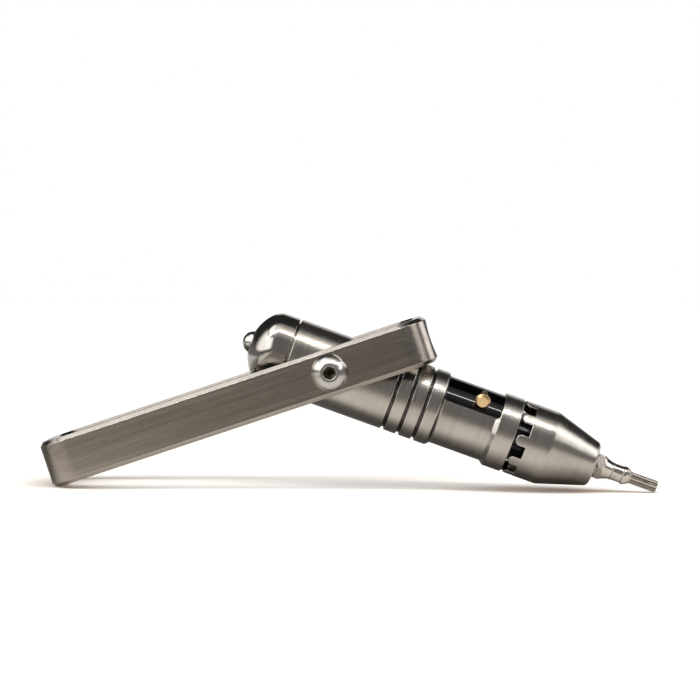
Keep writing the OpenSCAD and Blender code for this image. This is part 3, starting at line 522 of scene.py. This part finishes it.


# studio: a floor painted pale near the tool and dark farther off as a pool of light, a strip light with a warm
# hood over the front, a dim room and a white sweep behind

studio = {
    "floorHalf": 3.0, "floorNear": rgb(0.92, 0.88, 0.835), "floorFar": rgb(0.26, 0.235, 0.205),
    "brightMiddle": 0.03, "brightHalf": 0.05, "nearGlow": 0.4, "farGlow": 1.0,
    "glowColour": rgb(1.0, 0.955, 0.91), "glowFade": (0.03, 0.16),
    "farFade": (0.02, 0.14), "farLeft": (-0.14, -0.1),
    "paintedContactShadowReach": 0.0125, "paintedContactShadowColour": rgb(0.3, 0.2, 0.14), "paintedContactShadowFade": (0.95, 0.35),
    "mirrorNear": 0.03, "mirrorBehind": 0.6, "mirrorFade": (0.03, 0.25),
    "paintedShadowLevel": 0.25, "paintedShadowFront": (-0.018, -0.003), "paintedShadowRight": (0.072, 0.06),
    "boxSize": (1.4, 0.02), "boxElevation": 64.0, "boxDistance": 0.55, "boxGlow": 24.0,
    "roomLow": 0.2, "roomLeft": 0.1, "roomRise": 0.35, "backLow": 0.2, "backTop": 0.03,
    "leftFade": (-0.6, -0.2), "behindFade": (-0.1, 0.1), "riseFade": (0.62, 0.84), "backFade": (0.1, 0.3),
    "hood": 0.75, "hoodHeight": (0.78, 0.87), "hoodRear": (-0.02, -0.25), "hoodSlant": 0.3,
    "hoodTint": (-0.2, 0.2), "hoodLeft": rgb(0.92, 0.97, 1.0), "hoodRight": rgb(1.0, 0.87, 0.76),
}

# white cards round the tool: azimuth from the front towards the right and elevation in degrees, strength,
# how far the card leans to the right as it rises, and how soft its ends are in radians
cards = {
    "right": {"azimuth": (38.0, 62.0), "elevation": (17.0, 46.0), "glow": 2.6, "lean": 0.85, "soft": 0.05},
    "right behind": {"azimuth": (97.0, 126.0), "elevation": (-4.0, 25.0), "glow": 1.8, "soft": 0.05},
    "left": {"azimuth": (-108.0, -19.0), "elevation": (9.0, 43.0), "glow": 1.9, "soft": 0.2},
    "left high": {"azimuth": (-99.0, -48.0), "elevation": (47.0, 78.0), "glow": 2.0, "soft": 0.05},
    "behind": {"azimuth": (159.0, 191.0), "elevation": (-4.0, 33.0), "glow": 0.95, "soft": 0.05},
}


def makeFloor():
    half = studio["floorHalf"]
    mesh = bpy.data.meshes.new("floor")
    corners = [(-half, -half, 0), (half, -half, 0), (half, half, 0), (-half, half, 0)]
    mesh.from_pydata(corners, [], [(0, 1, 2, 3)])
    floor = bpy.data.objects.new("floor", mesh)
    bpy.context.scene.collection.objects.link(floor)
    material = bpy.data.materials.new("pale floor")
    material.use_nodes = True
    tree = material.node_tree
    tree.nodes.clear()
    coords = addNode(tree, "ShaderNodeTexCoord").outputs["Object"]
    x, y, _ = addNode(tree, "ShaderNodeSeparateXYZ", {0: coords}).outputs
    middle = mathNode(tree, "SUBTRACT", x, studio["brightMiddle"])
    beyond = mathNode(tree, "SUBTRACT", mathNode(tree, "ABSOLUTE", middle), studio["brightHalf"])
    away = distanceNode(tree, mathNode(tree, "MAXIMUM", beyond, 0.0), y)
    direct = rangeNode(tree, away, *studio["glowFade"], studio["nearGlow"], studio["farGlow"])
    mirrored = rangeNode(tree, y, *studio["mirrorFade"], studio["mirrorNear"], studio["mirrorBehind"])
    # painted pool of light: the floor's own colour is pale near the tool and dark farther off and towards the left
    far = mathNode(tree, "MULTIPLY", rangeNode(tree, away, *studio["farFade"]),
                   rangeNode(tree, x, *studio["farLeft"]))
    colour = mixColour(tree, far, studio["floorNear"], studio["floorFar"])
    path = addNode(tree, "ShaderNodeLightPath")
    indirect = mathNode(tree, "MAXIMUM", path.outputs["Is Glossy Ray"], path.outputs["Is Transmission Ray"])
    level = mathNode(tree, "MAXIMUM", mathNode(tree, "MULTIPLY", path.outputs["Is Camera Ray"], direct),
                     mathNode(tree, "MULTIPLY", indirect, mirrored))
    # painted shadow: the floor that the metal sees in its reflections is darker under the tool
    paintedShadowMask = mathNode(tree, "MULTIPLY", rangeNode(tree, y, *studio["paintedShadowFront"]),
                     rangeNode(tree, x, *studio["paintedShadowRight"]))
    shade = mathNode(tree, "MULTIPLY", paintedShadowMask, path.outputs["Is Glossy Ray"])
    dim = multiplyAdd(tree, shade, studio["paintedShadowLevel"] - 1.0, 1.0)
    colour = mixColour(tree, 1.0, colour, dim, "MULTIPLY")
    diffuse = addNode(tree, "ShaderNodeBsdfDiffuse", {"Color": colour})
    fade = rangeNode(tree, away, *studio["glowFade"])
    tint = mixColour(tree, fade, studio["glowColour"], rgb(1.0, 1.0, 1.0))
    # painted contact shadow: close to the tool the floor's glow turns brown and dark
    close = addNode(tree, "ShaderNodeAmbientOcclusion", {"Distance": studio["paintedContactShadowReach"]}, samples=8)
    contactShadow = rangeNode(tree, close.outputs["AO"], *studio["paintedContactShadowFade"])
    tint = mixColour(tree, contactShadow, tint, studio["paintedContactShadowColour"])
    glow = addNode(tree, "ShaderNodeEmission", {"Color": tint, "Strength": level})
    both = addNode(tree, "ShaderNodeAddShader", {0: diffuse.outputs[0], 1: glow.outputs[0]})
    addNode(tree, "ShaderNodeOutputMaterial", {"Surface": both.outputs[0]})
    mesh.materials.append(material)


def makeSoftbox():
    light = bpy.data.lights.new("softbox", "AREA")
    light.shape = "RECTANGLE"
    light.size, light.size_y = studio["boxSize"]
    light.energy = studio["boxGlow"] * math.pi * light.size * light.size_y
    lamp = bpy.data.objects.new("softbox", light)
    up = math.radians(studio["boxElevation"])
    aim = Vector((0.0, 0.0, 0.03))
    lamp.location = aim + studio["boxDistance"] * Vector((0.0, -math.cos(up), math.sin(up)))
    lamp.rotation_euler = (aim - lamp.location).to_track_quat("-Z", "Y").to_euler()
    bpy.context.scene.collection.objects.link(lamp)


cardEdge = 0.04


def cardMask(tree, around, z, card):
    low, high = (math.sin(math.radians(e)) for e in card["elevation"])
    start, end = (math.radians(a) for a in card["azimuth"])
    leaning = mathNode(tree, "SUBTRACT", around, mathNode(tree, "MULTIPLY", z, card.get("lean", 0.0)))
    if end > math.pi:
        wrapped = mathNode(tree, "LESS_THAN", leaning, 0.0)
        leaning = multiplyAdd(tree, wrapped, 2.0 * math.pi, leaning)
    return mathNode(tree, "MULTIPLY", bandMask(tree, leaning, start, end, card["soft"]),
                    bandMask(tree, z, low, high, cardEdge))


def makeRoom():
    world = bpy.data.worlds.new("studio room")
    bpy.context.scene.world = world
    world.use_nodes = True
    tree = world.node_tree
    tree.nodes.clear()
    way = addNode(tree, "ShaderNodeTexCoord").outputs["Generated"]
    x, y, z = addNode(tree, "ShaderNodeSeparateXYZ", {0: way}).outputs
    around = mathNode(tree, "ARCTAN2", x, mathNode(tree, "MULTIPLY", y, -1.0))
    behind = rangeNode(tree, y, *studio["behindFade"])
    low = rangeNode(tree, around, *studio["leftFade"], studio["roomLeft"], studio["roomLow"])
    front = mathNode(tree, "ADD", low, rangeNode(tree, z, *studio["riseFade"], 0.0, studio["roomRise"]))
    back = rangeNode(tree, z, *studio["backFade"], studio["backLow"], studio["backTop"])
    level = mathNode(tree, "ADD", mathNode(tree, "MULTIPLY", front, mathNode(tree, "SUBTRACT", 1.0, behind)),
                     mathNode(tree, "MULTIPLY", back, behind))
    # the hood's rear edge runs a little askew over the tool
    slant = mathNode(tree, "ADD", y, mathNode(tree, "MULTIPLY", x, studio["hoodSlant"]))
    hood = mathNode(tree, "MULTIPLY", rangeNode(tree, z, *studio["hoodHeight"]),
                    rangeNode(tree, slant, *studio["hoodRear"]))
    level = mathNode(tree, "ADD", level, mathNode(tree, "MULTIPLY", hood, studio["hood"]))
    for card in cards.values():
        shine = mathNode(tree, "MULTIPLY", cardMask(tree, around, z, card), card["glow"])
        level = mathNode(tree, "MAXIMUM", level, shine)
    path = addNode(tree, "ShaderNodeLightPath")
    shown = addNode(tree, "ShaderNodeMix", data_type="FLOAT")
    tree.links.new(path.outputs["Is Camera Ray"], shown.inputs[0])
    tree.links.new(level, shown.inputs[2])
    shown.inputs[3].default_value = 1.0
    tint = mixColour(tree, rangeNode(tree, x, *studio["hoodTint"]), studio["hoodLeft"], studio["hoodRight"])
    colour = mixColour(tree, hood, rgb(1.0, 1.0, 1.0), tint)
    background = addNode(tree, "ShaderNodeBackground", {"Color": colour, "Strength": shown.outputs[0]})
    addNode(tree, "ShaderNodeOutputWorld", {"Surface": background.outputs[0]})


makeFloor()
makeSoftbox()
makeRoom()
print("studio ready")

# camera at the photograph's place, long lens, almost level

cameraSet = {
    "place": (0.006437, -0.551932, 0.056164), "yaw": -0.739, "pitch": 2.085, "roll": 0.836, "lens": 108.882,
}


def makeCamera():
    data = bpy.data.cameras.new("camera")
    data.sensor_width = 36.0
    data.lens = cameraSet["lens"]
    data.clip_start, data.clip_end = 0.01, 20.0
    camera = bpy.data.objects.new("camera", data)
    yaw, pitch, roll = (math.radians(cameraSet[k]) for k in ("yaw", "pitch", "roll"))
    ahead = Vector((math.sin(yaw) * math.cos(pitch), math.cos(yaw) * math.cos(pitch), -math.sin(pitch)))
    right = Vector((math.cos(yaw), -math.sin(yaw), 0.0))
    up = right.cross(ahead)
    right, up = right * math.cos(roll) + up * math.sin(roll), up * math.cos(roll) - right * math.sin(roll)
    camera.matrix_world = Matrix((
        (right.x, up.x, -ahead.x, cameraSet["place"][0]),
        (right.y, up.y, -ahead.y, cameraSet["place"][1]),
        (right.z, up.z, -ahead.z, cameraSet["place"][2]),
        (0.0, 0.0, 0.0, 1.0)))
    bpy.context.scene.collection.objects.link(camera)
    bpy.context.scene.camera = camera


makeCamera()
bpy.context.scene.view_settings.view_transform = "Standard"
print("camera set")
